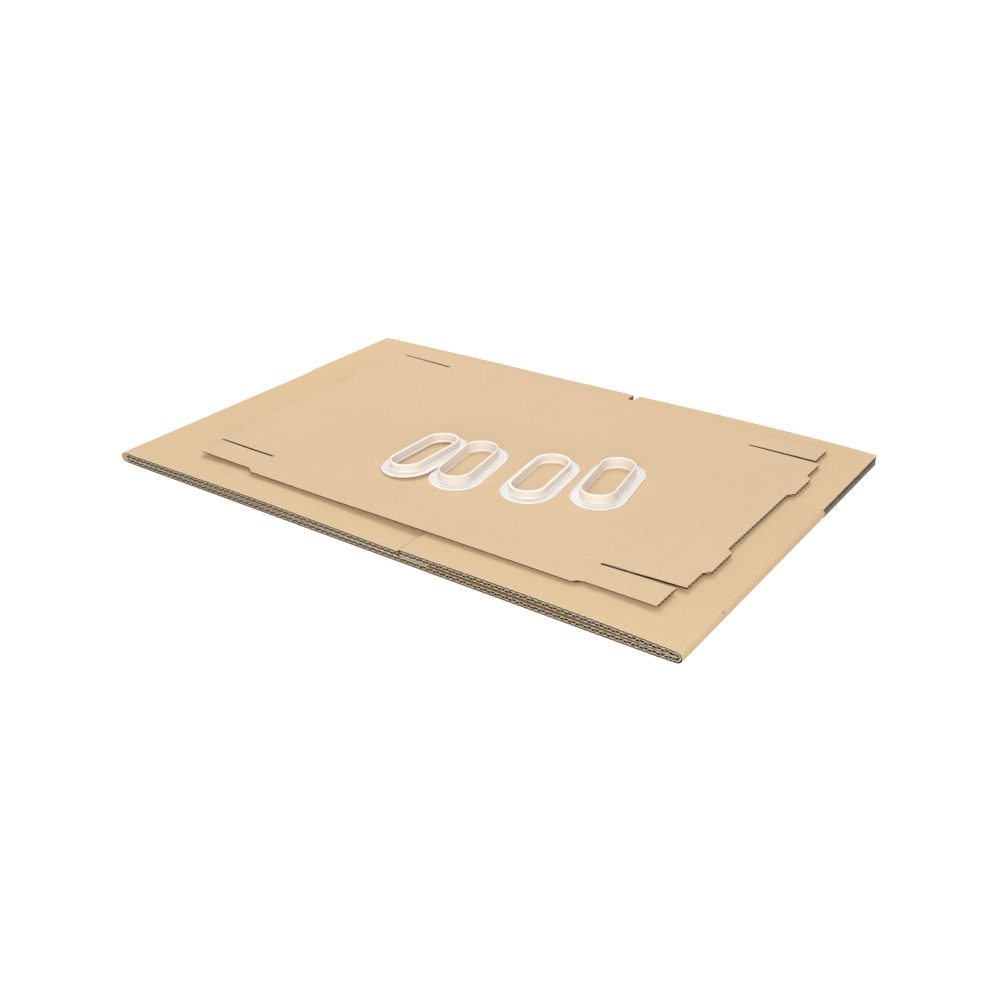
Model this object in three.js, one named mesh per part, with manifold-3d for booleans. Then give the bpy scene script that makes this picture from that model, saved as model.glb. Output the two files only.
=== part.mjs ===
// A corrugated storage box as it is delivered: the box body folded flat, the flat lid blank
// lying on it, and the four plastic rings of its two hand holes lying on the blank.
// Millimetres, +Z up. +X runs along the long side, -Y is the body's open edge, and the
// origin is at the middle of the footprint, on the surface that the body lies on.

import * as THREE from 'three';
import { mergeVertices } from 'three/addons/utils/BufferGeometryUtils.js';
import Module from 'manifold-3d';

const wasm = await Module();
wasm.setup();

// Body panels, from crease to crease, and the double-wall board that they are cut from
const longPanel = 409;
const shortPanel = 301;
const wallHeight = 309;
const bottomFlap = 155;
const boardThickness = 6;
const linerThickness = 0.4;
const coarseFluteHeight = 3;
const coarseFlutePitch = 7.9;

// How the flat body lies: each fold is pinched, and the two layers part a little between them
const foldHeight = 11.4;
const foldWall = 6;
const foldRun = 14;
const layerGap = 0.4;
const leftRise = 1.4;
const rightRise = 0.8;

// The glue lap is the edge of the long panel, crushed and glued under the short panel
const lapThickness = 2.2;
const lapWidth = 33;
const lapShoulder = 3;

// Slots between the bottom flaps, and the score line that the flaps turn on
const flapSlotWidth = 8;
const flapSetback = 2;
const scoreWidth = 4;
const scoreDepth = 0.5;

// Lid blank, cut from single-wall board
const lidBoardThickness = 3;
const lidLinerThickness = 0.35;
const lidFlutePitch = 6.35;
const lidPanelLength = 424;
const lidPanelWidth = 320;
const lidSideFlap = 41;
const lidTabLength = 75.5;
const lidTabInset = 6;
const lidStepRun = 9;
const lidEndFlap = 82.5;
const lidEndTaper = 2;
const lidLockDepth = 6;
const lidLockWidth = 53;
const lidLockSpacing = 190;
const lidSlotWidth = 4;
const lidRollCrease = 40;
const lidScoreWidth = 2.5;
const lidScoreDepth = 0.2;
const lidCentreX = 19.3;
const lidCentreY = 6;

// Hand-hole rings: a flange, and a collar that goes through the board
const ringStraight = 57;
const flangeWidth = 59.5;
const flangeThickness = 2;
const ringHoleWidth = 32.5;
const collarMouthWidth = 35.5;
const ringEdge = 0.7;
const ringArcSteps = 12;
const socketRing = { collarWidth: 41, collarHeight: 8.5, beadWidth: 44, beadHeight: 0.8 };
const plugRing = { collarWidth: 39, collarHeight: 10.5, beadWidth: 48, beadHeight: 0.8 };

// Where the second ring lies, how far the others lie from it, and each ring's turn in degrees.
// The first ring's flange lies on the second's, up to its collar, so it leans.
const secondRing = { x: 7.4, y: -58.6, turn: 98.8 };
const firstRingShift = { y: -7, turn: 89.5 };
const ringSkewRoom = 4.8;
const thirdRingShift = { x: 80.4, y: 17.8, turn: 97.6 };
const fourthRingShift = { x: 146.2, y: 46.2, turn: 100.5 };

// Hand holes in the two short panels, measured from the open edge to the middle of the hole
const handHoleFromEdge = 78;
const handHoleClearance = 1;

// Pieces that lie on each other keep this clearance
const restGap = 0.3;

const cardboard = new THREE.MeshStandardMaterial({ color: 0xdcc096, roughness: 0.9, metalness: 0 });
const lidCardboard = new THREE.MeshStandardMaterial({ color: 0xe0c4a2, roughness: 0.9, metalness: 0 });
const milkyPlastic = new THREE.MeshStandardMaterial({ color: 0xeee8e2, roughness: 0.35, metalness: 0 });

const leftEnd = -(longPanel + shortPanel) / 2;
const rightEnd = -leftEnd;
const openEdge = -(wallHeight + bottomFlap) / 2;
const flapEdge = -openEdge;
const jointX = leftEnd + longPanel;
const lowerCreaseX = leftEnd + shortPanel;
const bottomCreaseY = openEdge + wallHeight;
const upperFloor = boardThickness + layerGap;
const overTop = 4 * boardThickness;
const cutPast = 1;

// Solids for the cuts

function toSolid(geometry) {
  const bare = geometry.clone();
  bare.deleteAttribute('normal');
  bare.deleteAttribute('uv');
  const merged = mergeVertices(bare, 1e-4);
  const mesh = new wasm.Mesh({
    numProp: 3,
    vertProperties: new Float32Array(merged.attributes.position.array),
    triVerts: new Uint32Array(merged.index.array),
  });
  return new wasm.Manifold(mesh);
}

function toGeometry(solid) {
  const mesh = solid.getMesh();
  const geometry = new THREE.BufferGeometry();
  geometry.setAttribute('position', new THREE.BufferAttribute(new Float32Array(mesh.vertProperties), 3));
  geometry.setIndex(new THREE.BufferAttribute(new Uint32Array(mesh.triVerts), 1));
  geometry.computeVertexNormals();
  return geometry;
}

function block(x0, x1, y0, y1, z0, z1) {
  const geometry = new THREE.BoxGeometry(x1 - x0, y1 - y0, z1 - z0);
  geometry.translate((x0 + x1) / 2, (y0 + y1) / 2, (z0 + z1) / 2);
  return toSolid(geometry);
}

// A section drawn in X and Z, or a row of them, run along Y
function runAlongY(shape, y0, y1) {
  const geometry = new THREE.ExtrudeGeometry(shape, { depth: y1 - y0, bevelEnabled: false, curveSegments: 8 });
  geometry.rotateX(Math.PI / 2);
  geometry.translate(0, y1, 0);
  return toSolid(geometry);
}

// A section drawn in Y and Z, or a row of them, run along X
function runAlongX(shape, x0, x1) {
  const geometry = new THREE.ExtrudeGeometry(shape, { depth: x1 - x0, bevelEnabled: false });
  const axes = new THREE.Matrix4().makeBasis(
    new THREE.Vector3(0, 1, 0),
    new THREE.Vector3(0, 0, 1),
    new THREE.Vector3(1, 0, 0),
  );
  geometry.applyMatrix4(axes);
  geometry.translate(x0, 0, 0);
  return toSolid(geometry);
}

// An outline drawn in X and Y, raised along Z
function raise(shape, z0, z1) {
  const geometry = new THREE.ExtrudeGeometry(shape, { depth: z1 - z0, bevelEnabled: false, curveSegments: 12 });
  geometry.translate(0, 0, z0);
  return toSolid(geometry);
}

// Round-ended outline, long side along X
function roundEnded(x, y, straight, width) {
  const radius = width / 2;
  const shape = new THREE.Shape();
  shape.moveTo(x - straight / 2, y - radius);
  shape.lineTo(x + straight / 2, y - radius);
  shape.absarc(x + straight / 2, y, radius, -Math.PI / 2, Math.PI / 2, false);
  shape.lineTo(x - straight / 2, y + radius);
  shape.absarc(x - straight / 2, y, radius, Math.PI / 2, Math.PI * 1.5, false);
  return shape;
}

// Open-ended three-sided cells between a liner and the fluting, tip up and tip down in turn
function fluteCells(from, to, pitch, height, floorAt) {
  const half = pitch / 2;
  const count = Math.floor((to - from) / half) - 1;
  const start = (from + to - (count - 1) * half) / 2;
  const inset = linerThickness;
  const cells = [];
  for (let i = 0; i < count; i += 1) {
    const middle = start + i * half;
    const low = floorAt(middle);
    const tipUp = i % 2 === 0;
    const base = tipUp ? low : low + height;
    const tip = tipUp ? low + height - inset : low + inset;
    const cell = new THREE.Shape();
    cell.moveTo(middle - half + inset, base);
    cell.lineTo(middle + half - inset, base);
    cell.lineTo(middle, tip);
    cell.closePath();
    cells.push(cell);
  }
  return cells;
}

// Box body

// Underside of the upper long panel: down on the lower layer at its ends, lifted between
function longPanelFloor(x) {
  const along = (x - leftEnd) / longPanel;
  return upperFloor + leftRise * Math.sin(Math.PI * along) ** 2;
}

// Underside of the upper short panel: on the glue lap at the joint, down again at the fold
function shortPanelFloor(x) {
  const along = (x - jointX) / shortPanel;
  const down = 1 - along ** 6;
  return upperFloor + (lapThickness + rightRise * Math.sin(Math.PI * along)) * down;
}

function lineAbove(floorAt, x0, x1, above) {
  const steps = 12;
  const points = [];
  for (let i = 0; i <= steps; i += 1) {
    const x = x0 + ((x1 - x0) * i) / steps;
    points.push(new THREE.Vector2(x, floorAt(x) + above));
  }
  return points;
}

function drawOn(path, points) {
  points.forEach((point) => path.lineTo(point.x, point.y));
}

// Both layers, the glue lap and the folds, with the two layers' cut edges meeting at the joint
function tubeSection() {
  const shape = new THREE.Shape();
  shape.moveTo(leftEnd, 0);
  shape.lineTo(rightEnd, 0);
  drawOn(shape, lineAbove(shortPanelFloor, jointX, rightEnd, boardThickness).reverse());
  shape.lineTo(jointX, shortPanelFloor(jointX));
  drawOn(shape, lineAbove(longPanelFloor, leftEnd, jointX - lapShoulder, boardThickness).reverse());
  return shape;
}

// The slit between the layers, from fold to fold, above and below the glue lap's own thickness
function slitSection() {
  const lapEnd = jointX + lapWidth;
  const shape = new THREE.Shape();
  shape.moveTo(leftEnd + foldWall, boardThickness);
  shape.lineTo(rightEnd - foldWall, boardThickness);
  drawOn(shape, lineAbove(shortPanelFloor, lapEnd, rightEnd - foldWall, 0).reverse());
  shape.lineTo(lapEnd, upperFloor);
  drawOn(shape, lineAbove(longPanelFloor, leftEnd + foldWall, jointX, 0).reverse());
  return shape;
}

// The coarse fluting lies next to the inner liner, so the two layers mirror each other
function coarseCells() {
  const low = () => boardThickness - linerThickness - coarseFluteHeight;
  const overLong = (x) => longPanelFloor(x) + linerThickness;
  const overShort = (x) => shortPanelFloor(x) + linerThickness;
  return [
    ...fluteCells(leftEnd + foldRun, rightEnd - foldRun, coarseFlutePitch, coarseFluteHeight, low),
    ...fluteCells(leftEnd + foldRun, jointX - 2 * lapShoulder, coarseFlutePitch, coarseFluteHeight, overLong),
    ...fluteCells(jointX, rightEnd - foldRun, coarseFlutePitch, coarseFluteHeight, overShort),
  ];
}

// What a pinched, rounded fold leaves of the square end, drawn for the right-hand fold
function foldTrim(mirror, topAt) {
  const radius = foldHeight / 2;
  const end = rightEnd;
  const shape = new THREE.Shape();
  const side = (x) => (mirror ? -x : x);
  const points = [new THREE.Vector2(side(end - foldRun), topAt(side(end - foldRun)))];
  const steps = 10;
  for (let i = 0; i <= steps; i += 1) {
    const angle = Math.PI / 2 - (Math.PI * i) / steps;
    const x = end - radius + radius * Math.cos(angle);
    points.push(new THREE.Vector2(side(x), radius + radius * Math.sin(angle)));
  }
  points.push(new THREE.Vector2(side(end - radius), -cutPast));
  points.push(new THREE.Vector2(side(end + cutPast), -cutPast));
  points.push(new THREE.Vector2(side(end + cutPast), overTop));
  points.push(new THREE.Vector2(side(end - foldRun), overTop));
  shape.setFromPoints(mirror ? points.reverse() : points);
  return runAlongY(shape, openEdge - cutPast, bottomCreaseY);
}

// Slots at the folds, at the joint and at the lower layer's crease free the four bottom flaps
function flapCuts() {
  const from = bottomCreaseY;
  const to = flapEdge + cutPast;
  const pastFold = foldWall + cutPast;
  const halfSlot = flapSlotWidth / 2;
  return [
    block(rightEnd - flapSetback, rightEnd + cutPast, from, to, -cutPast, overTop),
    block(leftEnd - cutPast, leftEnd + flapSetback, from, to, -cutPast, overTop),
    block(rightEnd - pastFold, rightEnd + cutPast, from, to, boardThickness, upperFloor),
    block(leftEnd - cutPast, leftEnd + pastFold, from, to, boardThickness, upperFloor),
    block(jointX - flapSlotWidth, jointX, from, to, boardThickness, overTop),
    block(jointX - cutPast, jointX + lapWidth + cutPast, from, to, boardThickness, shortPanelFloor(jointX)),
    block(lowerCreaseX - halfSlot, lowerCreaseX + halfSlot, from, to, -cutPast, boardThickness),
  ];
}

// A shallow score across both layers, on their outer faces
function scoreCuts() {
  const from = bottomCreaseY - scoreWidth / 2;
  const to = bottomCreaseY + scoreWidth / 2;
  const band = (floorAt, x0, x1) => {
    const shape = new THREE.Shape(lineAbove(floorAt, x0, x1, boardThickness - scoreDepth));
    shape.lineTo(x1, overTop);
    shape.lineTo(x0, overTop);
    return runAlongY(shape, from, to);
  };
  return [
    band(longPanelFloor, leftEnd, jointX - lapShoulder),
    band(shortPanelFloor, jointX, rightEnd),
    block(leftEnd, rightEnd, from, to, -cutPast, scoreDepth),
  ];
}

function handHoleCut(x, z0, z1) {
  const width = socketRing.collarWidth + 2 * handHoleClearance;
  return raise(roundEnded(x, openEdge + handHoleFromEdge, ringStraight, width), z0, z1);
}

function makeBody() {
  const cuts = [
    runAlongY(slitSection(), openEdge - cutPast, flapEdge + cutPast),
    runAlongY(coarseCells(), openEdge - cutPast, flapEdge + cutPast),
    foldTrim(false, (x) => shortPanelFloor(x) + boardThickness),
    foldTrim(true, (x) => longPanelFloor(x) + boardThickness),
    ...flapCuts(),
    ...scoreCuts(),
    handHoleCut(rightEnd - shortPanel / 2, upperFloor, overTop),
    handHoleCut(leftEnd + shortPanel / 2, -cutPast, boardThickness + layerGap / 2),
  ];
  const tube = runAlongY(tubeSection(), openEdge, flapEdge);
  const body = cuts.reduce((solid, cut) => solid.subtract(cut), tube);
  const mesh = new THREE.Mesh(toGeometry(body), cardboard);
  mesh.name = 'box_body';
  return mesh;
}

// Lid blank

// One quarter of the outline, from the middle of the long side to the middle of the short side
function lidQuarter() {
  const panelX = lidPanelLength / 2;
  const panelY = lidPanelWidth / 2;
  const sideY = panelY + lidSideFlap;
  const tabY = sideY - lidTabInset;
  const tabX = panelX + lidTabLength;
  const endX = panelX + lidEndFlap;
  const halfSlot = lidSlotWidth / 2;
  const lockFrom = (lidLockSpacing + lidLockWidth) / 2;
  const lockTo = (lidLockSpacing - lidLockWidth) / 2;
  const slotRound = [];
  const steps = 4;
  for (let i = 0; i <= steps; i += 1) {
    const angle = Math.PI / 2 + (Math.PI * i) / steps;
    slotRound.push([panelX + halfSlot * Math.cos(angle), panelY + halfSlot * Math.sin(angle)]);
  }
  return [
    [panelX - lidStepRun, sideY],
    [panelX, tabY],
    [tabX, tabY],
    [tabX, panelY + halfSlot],
    ...slotRound,
    [endX, panelY - halfSlot - lidEndTaper],
    [endX, lockFrom],
    [endX + lidLockDepth, lockFrom - lidLockDepth],
    [endX + lidLockDepth, lockTo + lidLockDepth],
    [endX, lockTo],
  ];
}

function lidOutline() {
  const quarter = lidQuarter();
  const back = [...quarter].reverse();
  const points = [
    ...quarter,
    ...back.map(([x, y]) => [x, -y]),
    ...quarter.map(([x, y]) => [-x, -y]),
    ...back.map(([x, y]) => [-x, y]),
  ];
  return new THREE.Shape(points.reverse().map(([x, y]) => new THREE.Vector2(x, y)));
}

function lidBoard(halfLength, halfWidth) {
  const shape = new THREE.Shape();
  shape.moveTo(-halfWidth, 0);
  shape.lineTo(halfWidth, 0);
  shape.lineTo(halfWidth, lidBoardThickness);
  shape.lineTo(-halfWidth, lidBoardThickness);
  const height = lidBoardThickness - 2 * lidLinerThickness;
  const cells = fluteCells(-halfWidth, halfWidth, lidFlutePitch, height, () => lidLinerThickness);
  const flutes = runAlongX(cells, -halfLength - cutPast, halfLength + cutPast);
  return runAlongX(shape, -halfLength, halfLength).subtract(flutes);
}

// Scores where the side flaps, the end flaps and their roll-over turn, on the upper face
function lidScores() {
  const panelX = lidPanelLength / 2;
  const panelY = lidPanelWidth / 2;
  const half = lidScoreWidth / 2;
  const z0 = lidBoardThickness - lidScoreDepth;
  const z1 = lidBoardThickness + cutPast;
  const cuts = [];
  [-1, 1].forEach((side) => {
    const y = side * panelY;
    cuts.push(block(-panelX, panelX, y - half, y + half, z0, z1));
    [panelX, panelX + lidRollCrease].forEach((offset) => {
      const x = side * offset;
      cuts.push(block(x - half, x + half, -panelY + half, panelY - half, z0, z1));
    });
  });
  return cuts;
}

function makeLid() {
  const halfLength = lidPanelLength / 2 + lidEndFlap + lidLockDepth + cutPast;
  const halfWidth = lidPanelWidth / 2 + lidSideFlap;
  const outline = raise(lidOutline(), -cutPast, lidBoardThickness + cutPast);
  const board = lidBoard(halfLength, halfWidth).intersect(outline);
  const blank = lidScores().reduce((solid, cut) => solid.subtract(cut), board);
  const mesh = new THREE.Mesh(toGeometry(blank), lidCardboard);
  mesh.name = 'lid_blank';
  return mesh;
}

// Hand-hole rings

// Section of a ring as half-widths and heights, flange underside at height 0
function ringSection(kind) {
  const flange = flangeWidth / 2;
  const bead = kind.beadWidth / 2;
  const collar = kind.collarWidth / 2;
  const mouth = collarMouthWidth / 2;
  const hole = ringHoleWidth / 2;
  const beadTop = flangeThickness + kind.beadHeight;
  const top = flangeThickness + kind.collarHeight;
  return [
    [hole, 0],
    [flange - ringEdge, 0],
    [flange, ringEdge],
    [flange, flangeThickness - ringEdge],
    [flange - ringEdge, flangeThickness],
    [bead, flangeThickness],
    [bead - ringEdge, beadTop],
    [collar, beadTop],
    [collar, top - ringEdge],
    [collar - ringEdge, top],
    [mouth + ringEdge, top],
    [mouth, top - ringEdge],
    [hole, flangeThickness],
  ];
}

// The section swept round a round-ended path, as one closed surface
function ringGeometry(kind) {
  const section = ringSection(kind);
  const stations = [];
  [1, -1].forEach((end) => {
    for (let i = 0; i <= ringArcSteps; i += 1) {
      const angle = (Math.PI * i) / ringArcSteps - (end * Math.PI) / 2;
      stations.push({ x: (end * ringStraight) / 2, cos: Math.cos(angle), sin: Math.sin(angle) });
    }
  });
  const positions = [];
  stations.forEach((station) => {
    section.forEach(([out, z]) => {
      positions.push(station.x + out * station.cos, out * station.sin, z);
    });
  });
  const index = [];
  const rows = stations.length;
  const columns = section.length;
  for (let i = 0; i < rows; i += 1) {
    for (let j = 0; j < columns; j += 1) {
      const a = i * columns + j;
      const b = i * columns + ((j + 1) % columns);
      const c = ((i + 1) % rows) * columns + j;
      const d = ((i + 1) % rows) * columns + ((j + 1) % columns);
      index.push(a, c, b, b, c, d);
    }
  }
  const geometry = new THREE.BufferGeometry();
  geometry.setAttribute('position', new THREE.Float32BufferAttribute(positions, 3));
  geometry.setIndex(index);
  geometry.computeVertexNormals();
  return geometry;
}

// A ring turned flat on the blank, and leant about its long axis with one edge still down
function makeRing(name, kind, x, y, turn, lean = 0) {
  const mesh = new THREE.Mesh(ringGeometry(kind), milkyPlastic);
  mesh.name = name;
  mesh.rotation.x = -lean;
  mesh.position.z = (flangeWidth / 2) * Math.sin(lean);
  const turned = new THREE.Group();
  turned.add(mesh);
  turned.position.set(x, y, 0);
  turned.rotation.z = THREE.MathUtils.degToRad(turn);
  return turned;
}

function makeRings() {
  const { x, y, turn } = secondRing;
  const apart = (flangeWidth + plugRing.collarWidth) / 2 + ringSkewRoom;
  const lever = apart + (flangeWidth - plugRing.beadWidth) / 2 - ringSkewRoom;
  const lean = Math.asin((flangeThickness + plugRing.beadHeight + restGap) / lever);
  const third = thirdRingShift;
  const fourth = fourthRingShift;
  return [
    makeRing('handle_ring_1', socketRing, x - apart, y + firstRingShift.y, firstRingShift.turn, lean),
    makeRing('handle_ring_2', plugRing, x, y, turn),
    makeRing('handle_ring_3', socketRing, x + third.x, y + third.y, third.turn),
    makeRing('handle_ring_4', plugRing, x + fourth.x, y + fourth.y, fourth.turn),
  ];
}

// The blank lies on the highest stretch of the body, and the rings lie on the blank

function highestTop() {
  const tops = [
    ...lineAbove(longPanelFloor, leftEnd, jointX, boardThickness),
    ...lineAbove(shortPanelFloor, jointX, rightEnd, boardThickness),
  ];
  return Math.max(...tops.map((point) => point.y));
}

const box = new THREE.Group();
box.add(makeBody());

const onBody = new THREE.Group();
onBody.position.set(lidCentreX, lidCentreY, highestTop() + restGap);
onBody.add(makeLid());
box.add(onBody);

const onLid = new THREE.Group();
onLid.position.z = highestTop() + restGap + lidBoardThickness + restGap;
onLid.add(...makeRings());
box.add(onLid);

export default box;
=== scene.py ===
# A corrugated storage box as it is delivered: the box body folded flat, the flat lid blank
# lying on it, and the four plastic rings of its two hand holes lying on the blank.
import math

import bmesh
import bpy
from mathutils import Matrix, Vector


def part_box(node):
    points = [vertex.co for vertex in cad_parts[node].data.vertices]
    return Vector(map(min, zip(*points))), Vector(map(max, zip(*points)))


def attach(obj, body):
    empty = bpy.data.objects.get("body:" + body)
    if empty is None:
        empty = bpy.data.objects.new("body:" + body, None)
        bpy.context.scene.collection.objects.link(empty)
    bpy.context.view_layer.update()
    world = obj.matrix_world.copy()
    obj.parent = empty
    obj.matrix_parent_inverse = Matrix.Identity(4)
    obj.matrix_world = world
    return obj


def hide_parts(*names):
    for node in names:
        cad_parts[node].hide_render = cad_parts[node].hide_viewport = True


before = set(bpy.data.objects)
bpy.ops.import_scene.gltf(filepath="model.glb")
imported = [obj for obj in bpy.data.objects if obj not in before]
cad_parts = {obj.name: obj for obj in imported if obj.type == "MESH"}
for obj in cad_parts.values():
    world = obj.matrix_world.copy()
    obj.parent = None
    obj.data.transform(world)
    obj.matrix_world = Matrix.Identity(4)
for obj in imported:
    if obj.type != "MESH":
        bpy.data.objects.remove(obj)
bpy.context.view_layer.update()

scene = bpy.context.scene
scene.view_settings.view_transform = "Standard"

# Camera
# It stands before the box's front right corner, about 1.3 m away, and looks down along the
# box with an ordinary lens. Its place was worked out from where the box's corners are seen.

camera_place = Vector((0.7005, -0.9684, 0.5665))
camera_right = Vector((0.8158, 0.5782, -0.0111))
camera_forward = Vector((-0.5186, 0.7230, -0.4564))
camera_lens = 42.39
camera_film = 36

camera_up = camera_right.cross(camera_forward)
camera_axes = Matrix((camera_right, camera_up, -camera_forward)).transposed().to_4x4()
camera = bpy.data.objects.new("camera", bpy.data.cameras.new("camera"))
camera.data.lens = camera_lens
camera.data.sensor_width = camera_film
camera.data.sensor_fit = "HORIZONTAL"
camera.matrix_world = Matrix.Translation(camera_place) @ camera_axes
scene.collection.objects.link(camera)
scene.camera = camera

# Studio
# A plain white floor under a pale sky, with one large soft lamp behind the box and another in
# front of it. Seen straight on, the floor is white and keeps only the shadow at the box.


class Value:
    """A number on its way through the nodes, so that shader maths reads as it does on paper."""

    def __init__(self, finish, socket):
        self.finish = finish
        self.socket = socket

    def maths(self, operation, first, second=0.0):
        sockets = {0: first, 1: second}
        return self.finish.node("ShaderNodeMath", {"operation": operation}, sockets)["Value"]

    def __add__(self, other):
        return self.maths("ADD", self, other)

    def __radd__(self, other):
        return self.maths("ADD", other, self)

    def __sub__(self, other):
        return self.maths("SUBTRACT", self, other)

    def __rsub__(self, other):
        return self.maths("SUBTRACT", other, self)

    def __mul__(self, other):
        return self.maths("MULTIPLY", self, other)

    def __rmul__(self, other):
        return self.maths("MULTIPLY", other, self)

    def __gt__(self, other):
        return self.maths("GREATER_THAN", self, other)

    def __lt__(self, other):
        return self.maths("LESS_THAN", self, other)

    def sine(self):
        return self.maths("SINE", self)

    def larger(self, other):
        return self.maths("MAXIMUM", self, other)


class Finish:
    """A tree of nodes. One method places any node: its settings first, then its sockets."""

    def __init__(self, tree):
        self.tree = tree
        tree.nodes.clear()

    def node(self, kind, settings=None, sockets=None):
        placed = self.tree.nodes.new(kind)
        for name, setting in (settings or {}).items():
            setattr(placed, name, setting)
        for key, value in (sockets or {}).items():
            if isinstance(value, Value):
                self.tree.links.new(value.socket, placed.inputs[key])
            else:
                placed.inputs[key].default_value = value
        return {output.name: Value(self, output) for output in placed.outputs if output.enabled}

    def mix_shaders(self, share, first, second):
        return self.node("ShaderNodeMixShader", None, {0: share, 1: first, 2: second})["Shader"]

    def surface(self, shader):
        self.node("ShaderNodeOutputMaterial", None, {"Surface": shader})


def new_finish(name):
    material = bpy.data.materials.new(name)
    material.use_nodes = True
    return material, Finish(material.node_tree)


def seen_straight_on(finish):
    """1 for what the camera sees by itself, in a gloss or through something clear."""
    ray = finish.node("ShaderNodeLightPath")
    return ray["Is Camera Ray"].larger(ray["Is Glossy Ray"]).larger(ray["Is Transmission Ray"])


floor_half = 60.0
floor_drop = 0.0002
floor_white = (0.8, 0.8, 0.8, 1.0)
floor_lift = 0.7
sky_strength = 0.62
sky_white = (1.0, 1.0, 1.0, 1.0)
key_watts = 21.0
fill_watts = 30.0

floor_mesh = bpy.data.meshes.new("floor")
floor_corners = [(-1, -1), (1, -1), (1, 1), (-1, 1)]
floor_points = [(x * floor_half, y * floor_half, -floor_drop) for x, y in floor_corners]
floor_mesh.from_pydata(floor_points, [], [(0, 1, 2, 3)])
floor = bpy.data.objects.new("floor", floor_mesh)
scene.collection.objects.link(floor)

floor_material, finish = new_finish("floor_white")
floor_plain = finish.node("ShaderNodeBsdfDiffuse", None, {"Color": floor_white})["BSDF"]
floor_glow = finish.node("ShaderNodeEmission", None, {"Strength": floor_lift})["Emission"]
floor_seen = finish.node("ShaderNodeAddShader", None, {0: floor_plain, 1: floor_glow})["Shader"]
finish.surface(finish.mix_shaders(seen_straight_on(finish), floor_plain, floor_seen))
floor_mesh.materials.append(floor_material)

world = bpy.data.worlds.new("studio")
world.use_nodes = True
scene.world = world
finish = Finish(world.node_tree)
sky_light = finish.node("ShaderNodeBackground", None, {"Strength": sky_strength})["Background"]
sky_seen = finish.node("ShaderNodeBackground", None, {"Color": sky_white})["Background"]
sky = finish.mix_shaders(seen_straight_on(finish), sky_light, sky_seen)
finish.node("ShaderNodeOutputWorld", None, {"Surface": sky})


def soft_lamp(name, place, size, watts):
    lamp = bpy.data.objects.new(name, bpy.data.lights.new(name, "AREA"))
    lamp.data.size = size
    lamp.data.energy = watts
    lamp.location = place
    lamp.rotation_euler = (-Vector(place)).to_track_quat("-Z", "Y").to_euler()
    scene.collection.objects.link(lamp)


soft_lamp("key_lamp", place=(-0.8, 1.2, 1.9), size=1.2, watts=key_watts)
soft_lamp("fill_lamp", place=(1.0, -1.9, 0.9), size=1.4, watts=fill_watts)

# Box body: its three liners
# One sheet of double-wall board, cut, creased, folded flat into two layers and glued. Its three
# kraft-paper liners run from the glue joint round both folds. The bottom flaps are at the back,
# and the open edge with its cut flutes is at the front. Sizes are in millimetres.

MM = 0.001

body_low, body_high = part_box("box_body")
left_end = body_low.x / MM
right_end = body_high.x / MM
open_edge = body_low.y / MM
flap_edge = body_high.y / MM
long_panel = 409
short_panel = 301
wall_height = 309
board = 6
liner = 0.4
coarse_height = 3.0
layer_gap = 0.4
left_rise = 1.4
right_rise = 0.8
right_fall_power = 6
lap_thickness = 2.2
lap_shoulder = 3
fold_radius = 5.7
fold_run = 14
fold_rise = 0.7
fold_squeeze = 0.92
fold_steps = 18
panel_step = 8
flap_setback = 2
flap_slot = 8
flap_curl = 2.0
flap_curl_from = 170
flap_curl_run = 160
flap_step = 20
score_half = 2
score_step = 0.5
score_depth = 0.5
beyond_score = 12

joint_x = left_end + long_panel
lower_crease_x = left_end + short_panel
crease_y = open_edge + wall_height
left_in = left_end + fold_radius
right_in = right_end - fold_radius
fold_top = 2 * fold_radius + fold_rise
upper_floor = board + layer_gap
layer_split = board + layer_gap / 2
fine_height = board - 3 * liner - coarse_height
outer_depth = liner / 2 / fold_squeeze
middle_depth = 1.5 * liner + fine_height
inner_depth = board - liner / 2


def smooth(share):
    share = min(max(share, 0.0), 1.0)
    return share * share * (3 - 2 * share)


def spread(start, stop, step):
    """Even places from start to stop, about a step apart."""
    count = max(1, round(abs(stop - start) / step))
    return [start + (stop - start) * i / count for i in range(count + 1)]


def fold_slope(from_end, flat):
    """The outer face of the upper layer, which comes down from flat board to the fold's top."""
    share = (from_end - fold_radius) / (fold_run - fold_radius)
    return fold_top + (flat - fold_top) * min(max(share, 0), 1)


def long_top(x):
    """Outer face of the upper long panel: down at its ends, lifted a little between them."""
    lifted = left_rise * math.sin(math.pi * (x - left_end) / long_panel) ** 2
    return fold_slope(x - left_end, upper_floor + lifted + board)


def short_top(x):
    """Outer face of the upper short panel: on the glue lap at the joint, down again at the fold."""
    along = min((x - joint_x) / short_panel, 1)
    lifted = lap_thickness + right_rise * math.sin(math.pi * along)
    return fold_slope(right_end - x, upper_floor + lifted * (1 - along ** right_fall_power) + board)


def away_from_fold(x):
    from_end = min(x - left_end, right_end - x)
    return smooth((from_end - fold_radius) / fold_run)


def squeeze(x):
    """How much the board is pressed together where it comes near a fold."""
    return fold_squeeze + (1 - fold_squeeze) * away_from_fold(x)


def on_long(x, depth):
    """A height inside the upper long panel, so far in from its outer face."""
    return long_top(x) - depth * squeeze(x)


def on_short(x, depth):
    """The same inside the upper short panel."""
    return short_top(x) - depth * squeeze(x)


def on_lower(x, depth):
    """The same inside the lower layer, whose ends stand up a little from the ground."""
    return depth * squeeze(x) + fold_rise * (1 - away_from_fold(x))


def layer_line(face, x0, x1, depth):
    return [(x, face(x, depth)) for x in spread(x0, x1, panel_step)]


def fold_line(side, depth):
    """Round a fold, from the upper layer down to the lower one. The side is -1 left, 1 right."""
    radius = fold_radius - depth * fold_squeeze
    across = right_in if side > 0 else left_in
    middle = fold_radius + fold_rise
    turns = [math.pi * i / fold_steps for i in range(1, fold_steps)]
    return [(across + side * radius * math.sin(t), middle + radius * math.cos(t)) for t in turns]


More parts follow.
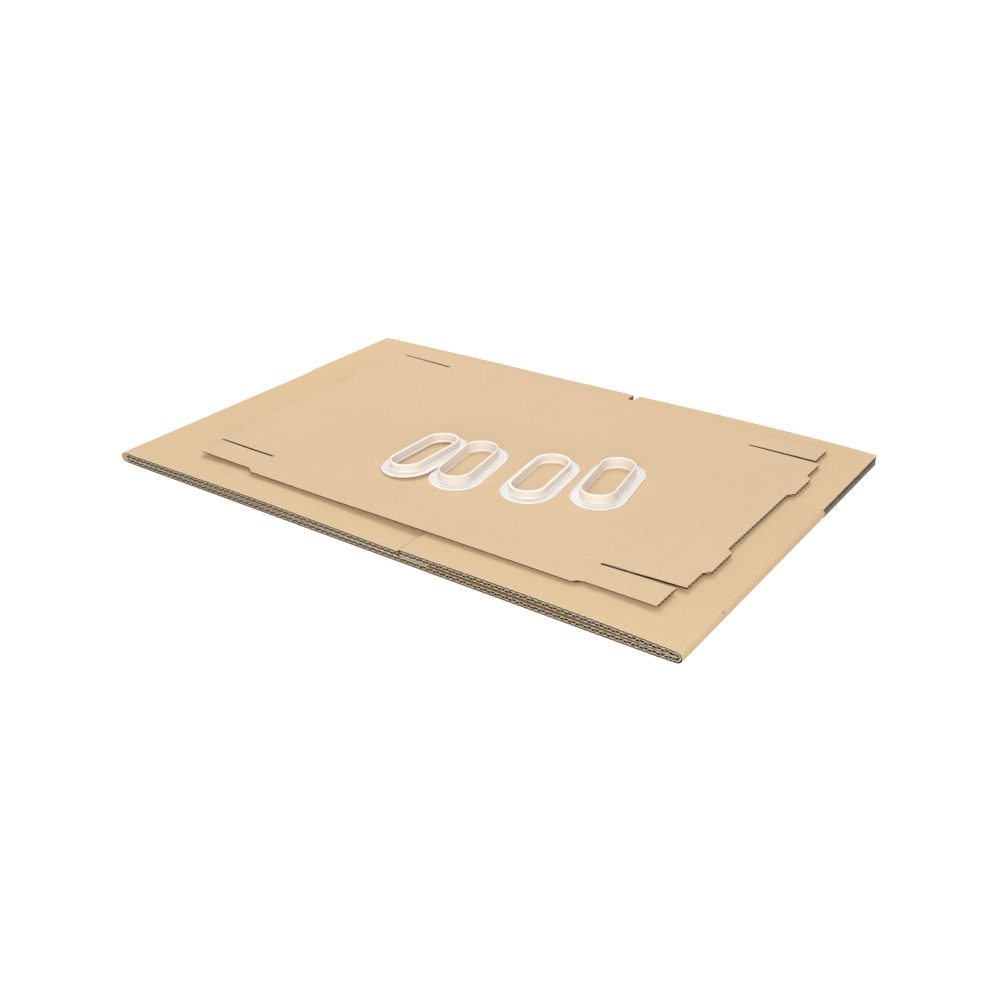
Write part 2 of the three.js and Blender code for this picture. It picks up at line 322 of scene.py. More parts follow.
def wrapped_line(depth):
    """From the glue joint to the left fold, under both panels, and round the right fold back."""
    return (
        layer_line(on_long, joint_x - lap_shoulder, left_in, depth)
        + fold_line(-1, depth)
        + layer_line(on_lower, left_in, right_in, depth)
        + fold_line(1, depth)[::-1]
        + layer_line(on_short, right_in, joint_x, depth)
    )


# The four bottom flaps, each between the slots or setbacks at its sides.
flaps = [
    (on_long, left_end + flap_setback, joint_x - flap_slot),
    (on_short, joint_x, right_end - flap_setback),
    (on_lower, left_end + flap_setback, lower_crease_x - flap_slot / 2),
    (on_lower, lower_crease_x + flap_slot / 2, right_end - flap_setback),
]


def corner_lift(x, y, z):
    """The upper long panel's flap lifts at its free corner beside the joint."""
    if z < layer_split or x > joint_x - flap_slot / 2 or y < crease_y:
        return 0.0
    to_joint = smooth((x - joint_x + flap_curl_from) / flap_curl_run)
    to_back = smooth((y - crease_y) / (flap_edge - crease_y))
    return flap_curl * to_joint * to_back


def scored_lift(x, y, z):
    """The outer liner also dips along the bottom crease."""
    dip = score_depth * (1 - smooth(abs(y - crease_y) / score_half))
    return corner_lift(x, y, z) + (dip if z < layer_split else -dip)


score_steps = spread(0, score_half, score_step)
wall_stations = [open_edge] + [crease_y - step for step in score_steps[::-1]]
flap_stations = [crease_y + step for step in score_steps]
flap_stations += spread(crease_y + beyond_score, flap_edge, flap_step)

sharp_edge = 50


def finished_mesh(name, points, faces, parts, finishes):
    """A mesh whose faces take the finishes that their parts name."""
    mesh = bpy.data.meshes.new(name)
    mesh.from_pydata(points, [], faces)
    for material in finishes:
        mesh.materials.append(material)
    mesh.polygons.foreach_set("material_index", parts)
    return mesh


def dress(name, mesh, sharp=sharp_edge):
    """A mesh with its faces turned outwards, as a piece that lies where it was drawn."""
    shell = bmesh.new()
    shell.from_mesh(mesh)
    bmesh.ops.recalc_face_normals(shell, faces=shell.faces)
    shell.to_mesh(mesh)
    shell.free()
    mesh.shade_smooth()
    mesh.set_sharp_from_angle(angle=math.radians(sharp))
    piece = bpy.data.objects.new(name, mesh)
    scene.collection.objects.link(piece)
    return piece


class Bundle:
    """Closed strips of paper gathered into one mesh. A strip is a line drawn across the flutes
    and up, given its thickness and run along the flutes. Its cut faces take a second finish."""

    def __init__(self, flutes_along_x=False):
        self.points = []
        self.faces = []
        self.cut_faces = []
        self.flutes_along_x = flutes_along_x

    def place(self, across, along, height):
        x, y = (along, across) if self.flutes_along_x else (across, along)
        self.points.append((x * MM, y * MM, height * MM))

    def strip(self, line, thickness, stations, lift=None):
        over = []
        under = []
        for i, (across, height) in enumerate(line):
            before = line[max(i - 1, 0)]
            after = line[min(i + 1, len(line) - 1)]
            run = after[0] - before[0]
            rise = after[1] - before[1]
            half = thickness / 2 / math.hypot(run, rise)
            over.append((across - rise * half, height + run * half))
            under.append((across + rise * half, height - run * half))
        ring = over + under[::-1]
        count = len(ring)
        first = len(self.points)
        for along in stations:
            for across, height in ring:
                raised = lift(across, along, height) if lift else 0.0
                self.place(across, along, height + raised)
        for row in range(len(stations) - 1):
            start = first + row * count
            for i in range(count):
                j = (i + 1) % count
                at_end = i in (len(line) - 1, count - 1)
                target = self.cut_faces if at_end else self.faces
                target.append((start + i, start + j, start + count + j, start + count + i))
        for start in (first, first + (len(stations) - 1) * count):
            for i in range(len(line) - 1):
                across_from = start + count - 1 - i
                self.cut_faces.append((start + i, start + i + 1, across_from - 1, across_from))

    def piece(self, name, finishes, sharp=sharp_edge):
        parts = [0] * len(self.faces) + [1] * len(self.cut_faces)
        faces = self.faces + self.cut_faces
        return dress(name, finished_mesh(name, self.points, faces, parts, finishes), sharp)


def liner_bundle(depth, lift):
    bundle = Bundle()
    bundle.strip(wrapped_line(depth), liner, wall_stations, lift)
    for face, x0, x1 in flaps:
        bundle.strip(layer_line(face, x0, x1, depth), liner, flap_stations, lift)
    return bundle


def shade(red, green, blue):
    """A colour as a painter reads it, 0 to 255, turned into the light that it gives back."""
    parts = [((part / 255 + 0.055) / 1.055) ** 2.4 for part in (red, green, blue)]
    return (*parts, 1.0)


def noise(finish, place, scale, detail):
    sockets = {"Vector": place, "Scale": scale, "Detail": detail}
    return finish.node("ShaderNodeTexNoise", None, sockets)["Fac"]


def stretched(finish, place, factors):
    sockets = {0: place, 1: factors}
    return finish.node("ShaderNodeVectorMath", {"operation": "MULTIPLY"}, sockets)["Vector"]


def blend(finish, share, first, second, kind="MIX"):
    settings = {"data_type": "RGBA", "blend_type": kind}
    return finish.node("ShaderNodeMix", settings, {0: share, 6: first, 7: second})["Result"]


def bump(finish, height, strength, depth):
    sockets = {"Strength": strength, "Distance": depth, "Height": height}
    return finish.node("ShaderNodeBump", None, sockets)["Normal"]


def skin(finish, sockets):
    finish.surface(finish.node("ShaderNodeBsdfPrincipled", None, sockets)["BSDF"])


kraft_deep = shade(120, 86, 52)
cloudiness = 0.07
mottling = 0.13
fibre_contrast = 0.16
ridge_tint = 0.008
fleck_level = 0.74
fleck_strength = 0.35
spot_strength = 0.8
grain_height = 0.3
liner_ridge = 0.05


def kraft_paper(name, colour, pitch, flutes_along_x=False, ridge=liner_ridge, spots=()):
    """Kraft paper glued over flutes: cloudy colour, long fibres, dark flecks and faint ridges. Any
    dots given to it are painted in the flecks' dark colour.
    """
    material, finish = new_finish(name)
    place = finish.node("ShaderNodeTexCoord")["Object"]
    along_flutes = (1.6, 0.25, 1.0) if flutes_along_x else (0.25, 1.6, 1.0)
    cloud = noise(finish, place, scale=9.0, detail=3.0)
    mottle = noise(finish, place, scale=260.0, detail=4.0)
    fibre = noise(finish, stretched(finish, place, along_flutes), scale=900.0, detail=3.0)
    fleck = noise(finish, place, scale=700.0, detail=1.0)
    parts = finish.node("ShaderNodeSeparateXYZ", None, {"Vector": place})
    across = parts["Y"] if flutes_along_x else parts["X"]
    ridges = (across * (2 * math.pi / (pitch * MM))).sine()
    light = 1.0 + (cloud - 0.5) * cloudiness + (mottle - 0.5) * mottling
    light = light + (fibre - 0.5) * fibre_contrast + ridges * ridge_tint
    paper = blend(finish, 1.0, colour, light, "MULTIPLY")
    flecks_and_shadow_dots = (fleck > fleck_level) * fleck_strength
    level = stretched(finish, place, (1, 1, 0))
    # The given dots are painted dark too; two of the body's are painted shadow.
    for x, y, radius in spots:
        sockets = {0: level, 1: (x * MM, y * MM, 0)}
        away = finish.node("ShaderNodeVectorMath", {"operation": "DISTANCE"}, sockets)["Value"]
        flecks_and_shadow_dots = flecks_and_shadow_dots.larger((away < radius * MM) * spot_strength)
    grain = (fibre + mottle) * grain_height + ridges * ridge
    skin(finish, {
        "Base Color": blend(finish, flecks_and_shadow_dots, paper, kraft_deep),
        "Roughness": 0.8 + mottle * 0.15,
        "Normal": bump(finish, grain, strength=0.35, depth=0.0004),
        "Specular IOR Level": 0.25,
    })
    return material


def cut_paper(name, colour, deep):
    """The cut edge of a paper: pale, rough and torn into short fibres by the knife."""
    material, finish = new_finish(name)
    place = finish.node("ShaderNodeTexCoord")["Object"]
    torn = noise(finish, place, scale=1500.0, detail=3.0)
    skin(finish, {
        "Base Color": blend(finish, torn, deep, colour),
        "Roughness": 0.95,
        "Normal": bump(finish, torn, strength=0.4, depth=0.0003),
        "Specular IOR Level": 0.2,
    })
    return material


# Three dark dots on the outer paper: where each lies and its radius. The first two are painted
# shadow at the lid's lock corners, and the third is a dark speck on the right fold.
lock_shadows_and_speck = [(-289.6, 93, 0.9), (-282, -109, 0.8), (353.3, -153.5, 0.9)]
coarse_pitch = 7.9
fine_pitch = 6.35
body_liner = kraft_paper("body_kraft_liner", shade(229, 200, 159), fine_pitch, spots=lock_shadows_and_speck)
inner_kraft = kraft_paper("body_inner_kraft", shade(170, 134, 92), coarse_pitch)
# Near black for the liners' faces inside the flute cells and for the middle liner: painted shade of the
# deep cells, not the paper's own colour.
cell_painted_shade = kraft_paper("body_cell_painted_shade", shade(56, 37, 26), coarse_pitch)
liner_cut = cut_paper("liner_cut_edge", shade(252, 242, 220), shade(236, 212, 176))


def ride_on_body(piece, slot, *nodes):
    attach(piece, "root")
    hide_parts(*nodes)


hand_hole_from_edge = 78
hand_hole_straight = 57
hand_hole_width = 43
hand_hole_steps = 16
hand_hole_x = right_end - short_panel / 2
hand_hole_y = open_edge + hand_hole_from_edge
cut_past = 1
over_top = 4 * board


def solid_between(first, second):
    """The points of a solid between two like outlines, with its sides and its two ends."""
    count = len(first)
    sides = [(i, (i + 1) % count, count + (i + 1) % count, count + i) for i in range(count)]
    ends = [tuple(range(count)), tuple(range(count, 2 * count))]
    return first + second, sides, ends


def prism(outline, z0, z1):
    """An outline drawn from above and raised into a cutter. The faces that it leaves on a
    piece take the piece's second finish, the one of its cut faces."""
    low, high = ([(x * MM, y * MM, z * MM) for x, y in outline] for z in (z0, z1))
    points, sides, ends = solid_between(low, high)
    faces = ends + sides
    return dress("cutter", finished_mesh("cutter", points, faces, [1] * len(faces), (None, None)))


def round_ended(x, y, straight, width):
    turns = [math.pi * i / hand_hole_steps - math.pi / 2 for i in range(hand_hole_steps + 1)]
    half = width / 2
    right = [(x + straight / 2 + half * math.cos(t), y + half * math.sin(t)) for t in turns]
    return right + [(2 * x - px, 2 * y - py) for px, py in right]


def cut(piece, cutter, operation):
    """The piece keeps what the operation leaves of it, and the cutter is put away."""
    tool = piece.modifiers.new("cut", "BOOLEAN")
    tool.operation = operation
    tool.object = cutter
    tool.solver = "MANIFOLD"
    shown = piece.evaluated_get(bpy.context.evaluated_depsgraph_get())
    left = bpy.data.meshes.new_from_object(shown)
    left.set_sharp_from_angle(angle=math.radians(sharp_edge))
    piece.modifiers.clear()
    piece.data = left
    bpy.data.objects.remove(cutter)


def cut_hand_holes(piece):
    """A round-ended hole through both short panels, near the open edge."""
    hole = (hand_hole_y, hand_hole_straight, hand_hole_width)
    cut(piece, prism(round_ended(hand_hole_x, *hole), layer_split, over_top), "DIFFERENCE")
    cut(piece, prism(round_ended(-hand_hole_x, *hole), -cut_past, layer_split), "DIFFERENCE")


def towards_inside(point):
    """From a point of the body to the middle of the folded box, straight or round a fold."""
    x = point.x / MM
    return Vector((min(max(x, -right_in), right_in) - x, 0, layer_split - point.z / MM))


def face_two_ways(piece, towards):
    """The faces of a paper that look the given way take its third finish."""
    for face in piece.data.polygons:
        if face.material_index == 0 and face.normal.dot(towards(face.center)) > 0:
            face.material_index = 2


# Faces that look into the flutes take the painted cell shade; the inner liner's faces towards the gap
# between the layers take the inner kraft.
for name, depth, lift, finishes in (
    ("body_outer_liner", outer_depth, scored_lift, (body_liner, liner_cut, cell_painted_shade)),
    ("body_middle_liner", middle_depth, corner_lift, (cell_painted_shade, liner_cut)),
    ("body_inner_liner", inner_depth, corner_lift, (cell_painted_shade, liner_cut, inner_kraft)),
):
    paper = liner_bundle(depth, lift).piece(name, finishes)
    if len(finishes) == 3:
        face_two_ways(paper, towards_inside)
    cut_hand_holes(paper)
    ride_on_body(paper, "double_wall_board", "box_body")

# Box body: its fluting
# Two corrugated papers, a fine one under the outer liner and a coarse one on the inner liner,
# glued between the liners before the sheet was cut. Their open ends show on the cut edges.

medium = 0.45
fine_medium = 0.26
flute_clear = 0.02
flute_steps = 12
flap_flute_step = 50
crease_crush = 2.1
left_crush = 11
lower_left_crush = 10
right_crush = 12
lap_crush = 1
joint_crush = 0.5
# The fluting is painted near black: painted shade of its deep cells, not the paper's own colour.
dark_painted_fluting = kraft_paper("fluting_painted_shade", shade(52, 34, 24), coarse_pitch, ridge=0.0)
medium_cut = cut_paper("fluting_cut_edge", shade(250, 230, 200), shade(216, 184, 148))


def wave(x0, x1, pitch, face, start_depth, height, paper):
    """A flute paper's wave between two liners, along a panel's upper or lower face."""
    swing = height / 2 - paper / 2 - flute_clear
    line = []
    for x in spread(x0, x1, pitch / flute_steps):
        turn = 2 * math.pi * (x - left_end) / pitch
        depth = start_depth + height / 2 + swing * math.cos(turn)
        line.append((x, face(x, depth)))
    return line


# The flutes stop short of each fold, joint and crease, where they are crushed.
wall_flutes = (open_edge, crease_y - crease_crush)
flap_flutes = spread(crease_y + crease_crush, flap_edge, flap_flute_step)
fluted_parts = [
    (on_long, left_end + left_crush, joint_x - lap_shoulder - lap_crush, wall_flutes),
    (on_short, joint_x + joint_crush, right_end - right_crush, wall_flutes),
    (on_lower, left_end + lower_left_crush, right_end - right_crush, wall_flutes),
]
fluted_parts += [(face, x0, x1, flap_flutes) for face, x0, x1 in flaps]
for name, pitch, depth, height, paper in (
    ("body_fine_fluting", fine_pitch, liner, fine_height, fine_medium),
    ("body_coarse_fluting", coarse_pitch, 2 * liner + fine_height, coarse_height, medium),
):
    bundle = Bundle()
    for face, x0, x1, stations in fluted_parts:
        line = wave(x0, x1, pitch, face, depth, height, paper)
        bundle.strip(line, paper, stations, corner_lift)
    fluting = bundle.piece(name, (dark_painted_fluting, medium_cut))
    cut_hand_holes(fluting)
    ride_on_body(fluting, "double_wall_board", "box_body")

# Box body: its crushed folds
# Where the board turns right back on itself, the flutes collapse. On the left they are pressed
# into a solid roll inside the outer liner, and on the right they crumple and leave a dark wedge.
# The crumpled papers are painted near black there, a painted shade of the wedge.

roll_gap = 0.05
roll_steps = 14
roll_radius = fold_radius - liner - roll_gap
crumple_paper = 0.45
crumple_sharp = 20
fold_clear = 0.1
fold_front = open_edge + fold_clear
fold_back = crease_y - fold_clear

# The pressed flutes' inner edge, with the slit between the two layers left open: how far in
# from the fold's middle and how high, from the lower layer up.
pressed_edge = [
    (3.7, 0.8), (5.2, 3.1), (3.0, 5.45), (0.5, 5.58),
    (0.5, 5.82), (3.2, 5.95), (4.6, 8.2), (3.6, 10.9),
]
# Three creased papers in the right fold: how far in from the box's end and how high.
crumpled_papers = [
    [(11.5, 10.3), (8.6, 8.4), (6.4, 9.9), (4.1, 9.3), (2.4, 7.6), (1.7, 5.4), (3.6, 3.0)],
    [(10.8, 2.2), (8.6, 5.2), (6.8, 8.0), (5.6, 6.4), (3.2, 6.6)],
    [(9.4, 1.0), (7.0, 3.8), (5.0, 1.7), (3.4, 4.6)],
]


def roll_outline():
    """Round the inside of the left fold from the top down, and back along the pressed edge."""
    turns = [math.pi * i / roll_steps for i in range(roll_steps + 1)]
    arc = [(-roll_radius * math.sin(t), fold_radius + roll_radius * math.cos(t)) for t in turns]
    return [(left_in + x, z + fold_rise) for x, z in arc + pressed_edge]


crushed_kraft = kraft_paper("crushed_fluting", shade(138, 100, 64), coarse_pitch, ridge=0.0)
crushed_cut = cut_paper("crushed_board_cut", shade(206, 176, 136), shade(150, 116, 80))
front, back = ([(x * MM, y * MM, z * MM) for x, z in roll_outline()] for y in (fold_front, fold_back))
points, sides, ends = solid_between(front, back)
parts = [0] * len(sides) + [1] * len(ends)
name = "body_left_fold_core"
left_roll = dress(name, finished_mesh(name, points, sides + ends, parts, (crushed_kraft, crushed_cut)))
ride_on_body(left_roll, "double_wall_board", "box_body")

bundle = Bundle()
for paper in crumpled_papers:
    line = [(right_end - inwards, height + fold_rise) for inwards, height in paper]
    bundle.strip(line, crumple_paper, (fold_front, fold_back))
right_crumple = bundle.piece("body_right_fold_crumple", (dark_painted_fluting, medium_cut), crumple_sharp)
ride_on_body(right_crumple, "double_wall_board", "box_body")

# Box body: its glue lap
# The long panel's edge is crushed to a third of its thickness, glued to the inside of the short
# panel and covered by it. Its three liners and flattened flutes show as a third row at the front.

lap_width = 33
lap_liner = 0.3
lap_medium = 0.15
lap_pitch = 4.2
lap_step = 0.7
lap_glue = 0.05
lap_wave_clear = 1 / 12
lap_start = 0.2
lap_foot = 0.4
lap_flat_from = 4
lap_flutes_from = 1
lap_shoulder_rises = (0.2, 2.2, 3.6)
lap_end = joint_x + lap_width
lap_floor = upper_floor + lap_glue
lap_high = upper_floor + lap_thickness - lap_glue

bundle = Bundle()
lap_middle = (lap_floor + lap_high) / 2
lap_levels = (lap_floor + lap_liner / 2, lap_middle, lap_high - lap_liner / 2)
for level, shoulder in zip(lap_levels, lap_shoulder_rises):
    line = [(joint_x - lap_shoulder + lap_start, level + shoulder), (joint_x + lap_foot, level)]
    line += [(x, level) for x in spread(joint_x + lap_flat_from, lap_end, panel_step)]
    bundle.strip(line, lap_liner, (open_edge, crease_y))
for low, high in zip(lap_levels, lap_levels[1:]):
    middle = (low + high) / 2
    swing = (high - low) / 2 - lap_liner / 2 - lap_wave_clear
    line = []
    for x in spread(joint_x + lap_flutes_from, lap_end, lap_step):
        line.append((x, middle + swing * math.sin(2 * math.pi * x / lap_pitch)))
    bundle.strip(line, lap_medium, (open_edge, crease_y))
# The lap's papers take the fluting's painted shade on their faces; their cut ends stay pale.
glue_lap = bundle.piece("body_glue_lap", (dark_painted_fluting, medium_cut))
ride_on_body(glue_lap, "double_wall_board", "box_body")

# Lid blank
# A flat die-cut sheet of single-wall board: a panel with a narrow flap on each long side, an end
# flap with two locks on each short side, and tabs cut free by four slots. It only lies there.

lid_low, lid_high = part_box("lid_blank")
lid_floor = lid_low.z / MM
lid_roof = lid_high.z / MM
lid_x = (lid_low.x + lid_high.x) / 2 / MM
lid_y = (lid_low.y + lid_high.y) / 2 / MM
lid_half_x = (lid_high.x - lid_low.x) / 2 / MM
lid_half_y = (lid_high.y - lid_low.y) / 2 / MM
lid_liner = 0.45
lid_pitch = 6.35
lid_lock_depth = 6
lid_lock_width = 53
lid_lock_spacing = 190
lid_side_flap = 41
lid_tab_inset = 6
lid_tab_short = 7
lid_step_run = 9
lid_slot = 4
lid_slot_steps = 8
lid_left_taper = -1
lid_back_taper = 2
lid_front_taper = 5
lid_tab_taper = 3
lid_end_flap = 82.5
lid_roll_crease = 40
lid_score = 0.25
lid_score_half = 1.25
lid_panel_x = lid_half_x - lid_lock_depth - lid_end_flap
lid_panel_y = lid_half_y - lid_side_flap


def lid_quarter(trim, taper, tab_taper=0.0):
    """The blank's cut edge, from a long side to the middle of a short side. The trim draws back
    the edges that run along the flutes, and the tapers widen the slot towards its open end."""
    half_slot = lid_slot / 2 + trim
    side_y = lid_half_y - trim
    tab_y = side_y - lid_tab_inset
    end_x = lid_half_x - lid_lock_depth
    tab_x = end_x - lid_tab_short
    lock_from = (lid_lock_spacing + lid_lock_width) / 2
    lock_to = (lid_lock_spacing - lid_lock_width) / 2
    slot_end = []
    for i in range(lid_slot_steps + 1):
        turn = math.pi / 2 + math.pi * i / lid_slot_steps
        x = lid_panel_x + half_slot * math.cos(turn)
        slot_end.append((x, lid_panel_y + half_slot * math.sin(turn)))
    return [
        (lid_panel_x - lid_step_run, side_y),
        (lid_panel_x, tab_y),
        (tab_x, tab_y),
        (tab_x, lid_panel_y + half_slot - tab_taper),
        *slot_end,
        (end_x, lid_panel_y - half_slot - taper),
        (end_x, lock_from),
        (lid_half_x, lock_from - lid_lock_depth),
        (lid_half_x, lock_to + lid_lock_depth),
        (end_x, lock_to),
    ]


def lid_outline(trim):
    """All four quarters. The left slots narrow to their open ends, and the right ones widen."""
    plain = lid_quarter(trim, lid_left_taper)
    points = lid_quarter(trim, lid_back_taper)
    points += [(x, -y) for x, y in lid_quarter(trim, lid_front_taper, lid_tab_taper)[::-1]]
    points += [(-x, -y) for x, y in plain] + [(-x, y) for x, y in plain[::-1]]
    return [(lid_x + x, lid_y + y) for x, y in points]


sheet_past = 1
lid_step = 12
lid_crease_room = 2
lid_creases_y = [lid_y - lid_panel_y, lid_y + lid_panel_y]
lid_creases_x = [lid_x + side * (lid_panel_x + roll) for side in (-1, 1) for roll in (0, lid_roll_crease)]
lid_front = lid_y - lid_half_y - sheet_past
lid_back = lid_y + lid_half_y + sheet_past
lid_left = lid_x - lid_half_x - sheet_past
lid_right = lid_x + lid_half_x + sheet_past


def with_creases(start, stop, creases):
    """Even places, with a few more at each crease so that it can dip."""
    close = [crease + side * lid_score_half for crease in creases for side in (-1, -0.5, 0, 0.5, 1)]
    far = []
    for place in spread(start, stop, lid_step):
        if all(abs(place - crease) > lid_crease_room for crease in creases):
            far.append(place)
    return sorted(far + close)


def dip(place, creases):
    return lid_score * sum(1 - smooth(abs(place - crease) / lid_score_half) for crease in creases)


def lid_dip(y, x, z):
    """The upper liner dips along the creases."""
    return -max(dip(x, lid_creases_x), dip(y, lid_creases_y))


# How the blank lies. Its lifts and the tab's root are in millimetres, and the places of its
# bends run from -1 to 1 over the blank.
lid_corner_lift = 4.6
lid_corner_from_left = 0.1154
lid_corner_run_left = 0.7692
lid_corner_from_back = -0.2778
lid_corner_run_back = 1.1111
lid_curl = 0.8
lid_curl_from_left = 0.75
lid_curl_run = 0.25
lid_bow = 1.2
lid_bow_middle = -0.45
lid_bow_half = 0.75
lid_bow_back = 0.4
lid_tab_lift = 0.4
lid_tab_root = 10


def lid_lie(x, y):
    """The blank isn't quite flat: it rises to its back left corner and curls at its left edge,
    its front edge bows up on the right, and its front right tab stands up a little."""
    to_left = (lid_x - x) / lid_half_x
    to_back = (y - lid_y) / lid_half_y
    corner_left = smooth((to_left - lid_corner_from_left) / lid_corner_run_left)
    corner_back = smooth((to_back - lid_corner_from_back) / lid_corner_run_back)
    curl = smooth((to_left - lid_curl_from_left) / lid_curl_run)
    from_bow = min(abs(to_left - lid_bow_middle) / lid_bow_half, 1)
    bow = smooth(lid_bow_back - to_back) * (1 - from_bow ** 2)
    along_tab = smooth((x - lid_x - lid_panel_x + lid_tab_root) / lid_end_flap)
    on_tab = 1.0 if y < lid_y - lid_panel_y else 0.0
    lifts = lid_corner_lift * corner_left * corner_back + lid_curl * curl + lid_bow * bow
    return lifts + lid_tab_lift * along_tab * on_tab


lid_kraft = kraft_paper("lid_kraft_liner", shade(228, 199, 162), lid_pitch, flutes_along_x=True)
# The lid's fluting and its liners' faces inside the board are painted near black: painted shade, not the
# paper's own colour.
dark_painted_lid_fluting = kraft_paper("lid_fluting_painted_shade", shade(56, 37, 26), lid_pitch, True, ridge=0.0)
# The lower liner's cut edge is painted dark: painted shade under the upper liner's edge, not the pale cut
# of the paper.
lid_under_cut_painted_shade = cut_paper("lid_under_cut_painted_shade", shade(128, 98, 66), shade(84, 60, 38))


def lid_piece(name, bundle, finishes, trim):
    """A layer of the blank, cut to the outline and laid as the blank lies."""
    layer = bundle.piece(name, finishes)
    cut(layer, prism(lid_outline(trim), lid_floor - cut_past, lid_roof + cut_past), "INTERSECT")
    for point in layer.data.vertices:
        point.co.z += lid_lie(point.co.x / MM, point.co.y / MM) * MM
    ride_on_body(layer, "single_wall_board", "lid_blank")
    return layer


# Where an edge runs along the flutes, the knife opens one of them. There the fluting and the
# lower liner stop a little inside the upper liner's edge, in its shade. Their dark colours are
# painted shade on top of it: the fluting, the liners' inner faces and the lower liner's cut edge.
lid_flute_trim = 1.8
lid_lower_trim = 1.4
lid_flute_middle = (lid_floor + lid_roof) / 2
for name, height, lift, trim, cut_face in (
    ("lid_upper_liner", lid_roof - lid_liner / 2, lid_dip, 0.0, liner_cut),
    ("lid_lower_liner", lid_floor + lid_liner / 2, None, lid_lower_trim, lid_under_cut_painted_shade),
):
    bundle = Bundle(flutes_along_x=True)
    line = [(y, height) for y in with_creases(lid_front, lid_back, lid_creases_y)]
    bundle.strip(line, lid_liner, with_creases(lid_left, lid_right, lid_creases_x), lift)
    layer = lid_piece(name, bundle, (lid_kraft, cut_face, dark_painted_lid_fluting), trim)
    # The faces that look into the board take the third finish, the painted shade.
    face_two_ways(layer, lambda point: Vector((0, 0, lid_flute_middle - height)))

lid_flute_steps = 10
lid_flute_step = 22
lid_flute_swing = (lid_roof - lid_floor) / 2 - lid_liner - medium / 2 - flute_clear
line = []
for y in spread(lid_front, lid_back, lid_pitch / lid_flute_steps):
    line.append((y, lid_flute_middle + lid_flute_swing * math.cos(2 * math.pi * y / lid_pitch)))
bundle = Bundle(flutes_along_x=True)
bundle.strip(line, medium, spread(lid_left, lid_right, lid_flute_step))
lid_piece("lid_fluting", bundle, (dark_painted_lid_fluting, medium_cut), lid_flute_trim)

# Hand-hole rings
# Four moulded rings of milky plastic that line the hand holes, in two kinds that clip into each
# other through the board: a low wide collar, and a higher narrow one with a bead round it.

ring_straight = 57
flange_width = 59.5
flange_thickness = 2
ring_hole_width = 32.5
collar_mouth_width = 35.5
bead_height = 0.8
ring_edge = 0.7
hole_edge = 0.5
bead_root = 0.3
bead_crown = 0.35
collar_root = 0.5
funnel_root = 1.2
corner_room = 0.45
corner_steps = 5
ring_arc_steps = 28
ring_straight_steps = 6
ring_sharp = 60
ring_clear = 0.3
ring_floor = lid_roof + ring_clear
socket_ring = {"collar": 41, "height": 8.5, "bead": 44}
plug_ring = {"collar": 39, "height": 10.5, "bead": 48}


def ring_corners(kind):
    """A ring's section: half-width and height of each corner, and how far it is rounded."""
    flange = flange_width / 2
    bead = kind["bead"] / 2
    collar = kind["collar"] / 2
    mouth = collar_mouth_width / 2
    hole = ring_hole_width / 2
    bead_top = flange_thickness + bead_height
    top = flange_thickness + kind["height"]
    return [
        (hole, 0, hole_edge),
        (flange, 0, ring_edge),
        (flange, flange_thickness, ring_edge),
        (bead, flange_thickness, bead_root),
        (bead - ring_edge, bead_top, bead_crown),
        (collar, bead_top, collar_root),
        (collar, top, ring_edge),
        (mouth, top, ring_edge),
        (hole, flange_thickness, funnel_root),
    ]


def rounded(corners):
    """The section with each corner turned into a short curve."""
    points = []
    for i, (x, z, radius) in enumerate(corners):
        corner = Vector((x, z))
        before = Vector(corners[i - 1][:2]) - corner
        after = Vector(corners[(i + 1) % len(corners)][:2]) - corner
        start = corner + before.normalized() * min(radius, before.length * corner_room)
        stop = corner + after.normalized() * min(radius, after.length * corner_room)
        for step in range(corner_steps + 1):
            t = step / corner_steps
            points.append(start * (1 - t) ** 2 + corner * 2 * t * (1 - t) + stop * t ** 2)
    return points


# The corners after which the section runs up the collar's wall or down inside the hole.
wall_corners = (5, 7, 8)


def ring_mesh(name, kind, place, finishes):
    """The section swept round a round-ended path and laid in its place. Its rounded edges take
    the second finish, whose lighter colour is a painted highlight, and its walls the third, whose
    darker colour is painted shade."""
    stations = []
    for end in (1, -1):
        for i in range(ring_arc_steps + 1):
            turn = math.pi * i / ring_arc_steps - end * math.pi / 2
            stations.append((end * ring_straight / 2, math.cos(turn), math.sin(turn)))
        for i in range(1, ring_straight_steps):
            x = end * ring_straight * (0.5 - i / ring_straight_steps)
            stations.append((x, 0.0, end))
    section = rounded(ring_corners(kind))
    count = len(section)
    points = [place @ (Vector((x + p.x * c, p.x * s, p.y)) * MM) for x, c, s in stations for p in section]
    faces = []
    parts = []
    for i in range(len(stations)):
        here = i * count
        there = (i + 1) % len(stations) * count
        for j in range(count):
            k = (j + 1) % count
            faces.append((here + j, here + k, there + k, there + j))
            corner, step = divmod(j, corner_steps + 1)
            on_edge = step < corner_steps
            parts.append(1 if on_edge else 2 if corner in wall_corners else 0)
    return dress(name, finished_mesh(name, points, faces, parts, finishes), ring_sharp)


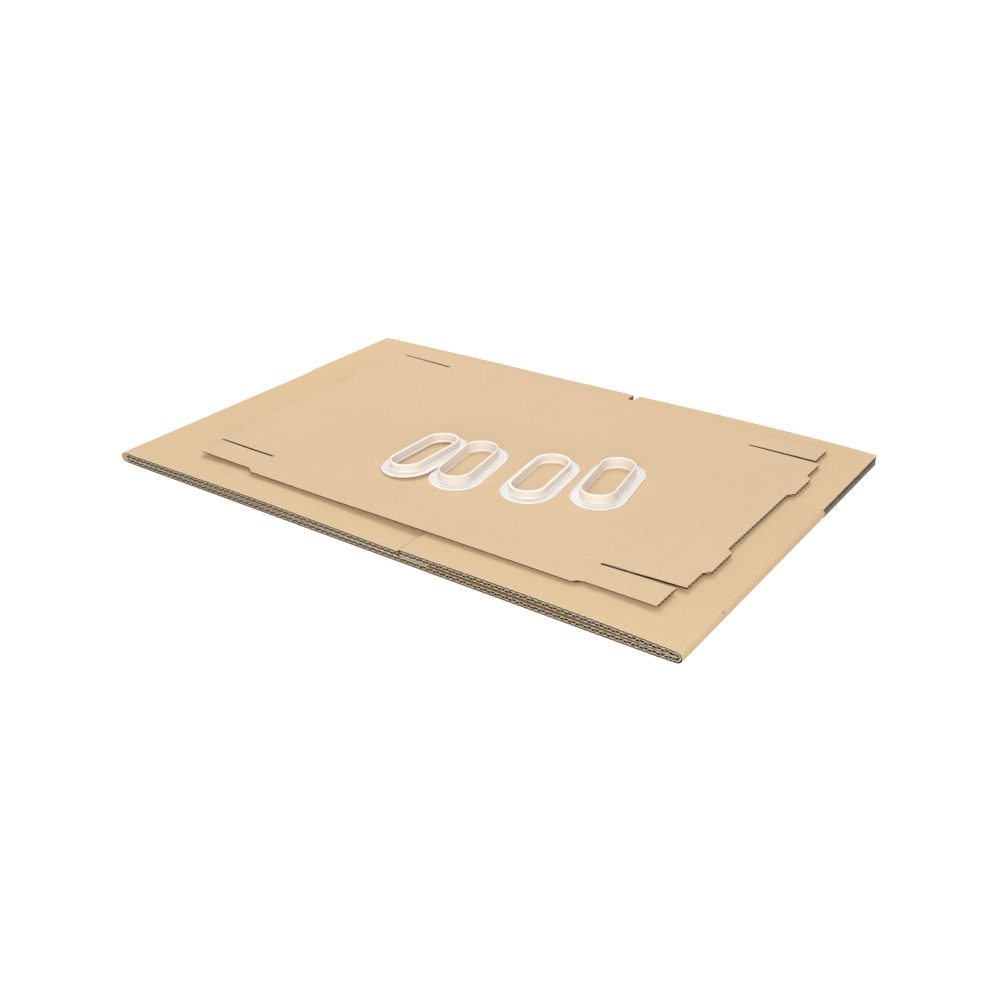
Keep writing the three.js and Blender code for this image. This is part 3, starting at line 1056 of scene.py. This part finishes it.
def milky_plastic(name, dim, bright, seen_through, glow):
    """Milky moulded plastic: light goes some way in, and the skin is satin. Its glow is painted
    light, a faint emission in its bright colour.
    """
    material, finish = new_finish(name)
    place = finish.node("ShaderNodeTexCoord")["Object"]
    flow = noise(finish, place, scale=60.0, detail=2.0)
    grain = noise(finish, place, scale=1200.0, detail=2.0)
    skin(finish, {
        "Base Color": blend(finish, flow, dim, bright),
        "Roughness": 0.3 + flow * 0.15,
        "Normal": bump(finish, grain, strength=0.12, depth=0.0002),
        "Subsurface Weight": 0.7,
        "Subsurface Radius": (0.004, 0.0035, 0.003),
        "Subsurface Scale": 1.0,
        "IOR": 1.49,
        "Alpha": 1 - seen_through,
        # Painted light: a faint glow, though the ring is no lamp.
        "Emission Color": bright,
        "Emission Strength": glow,
    })
    return material


# The flat, the rounded edges and the walls of one plastic: the rims' lighter colour is a painted
# highlight and the walls' darker colour is painted shade.
ring_finishes = (
    milky_plastic("milky_ring_plastic", shade(247, 238, 230), shade(252, 245, 238), 0.08, 0.02),
    milky_plastic("milky_ring_rim_painted_highlight", shade(252, 247, 241), shade(255, 251, 246), 0.0, 0.03),
    milky_plastic("milky_ring_wall_painted_shade", shade(231, 222, 214), shade(239, 231, 224), 0.08, 0.01),
)

# The first ring lies with one side on the second ring's flange, and its lean follows from how
# thick that flange is and how far off it lies.
second_x = 7.4
second_y = -58.6
ring_skew_room = 4.8
ring_apart = (flange_width + plug_ring["collar"]) / 2 + ring_skew_room
ring_lever = ring_apart + (flange_width - plug_ring["bead"]) / 2 - ring_skew_room
ring_lean = math.asin((flange_thickness + bead_height + ring_clear) / ring_lever)
ring_lift = flange_width / 2 * math.sin(ring_lean)

# Each ring's kind, its place as measured from the second ring, its turn in degrees and its lean.
rings = (
    ("handle_ring_1", socket_ring, -ring_apart, -7.0, 89.5, ring_lean),
    ("handle_ring_2", plug_ring, 0.0, 0.0, 98.8, 0.0),
    ("handle_ring_3", socket_ring, 80.4, 17.8, 97.6, 0.0),
    ("handle_ring_4", plug_ring, 146.2, 46.2, 100.5, 0.0),
)
for node, kind, from_second_x, from_second_y, turn, lean in rings:
    height = ring_floor + (ring_lift if lean else 0.0)
    middle = Vector((second_x + from_second_x, second_y + from_second_y, height))
    place = Matrix.Translation(middle * MM) @ Matrix.Rotation(math.radians(turn), 4, "Z")
    place = place @ Matrix.Rotation(-lean, 4, "X")
    ring = ring_mesh(node + "_moulded", kind, place, ring_finishes)
    ride_on_body(ring, "milky_plastic", node)
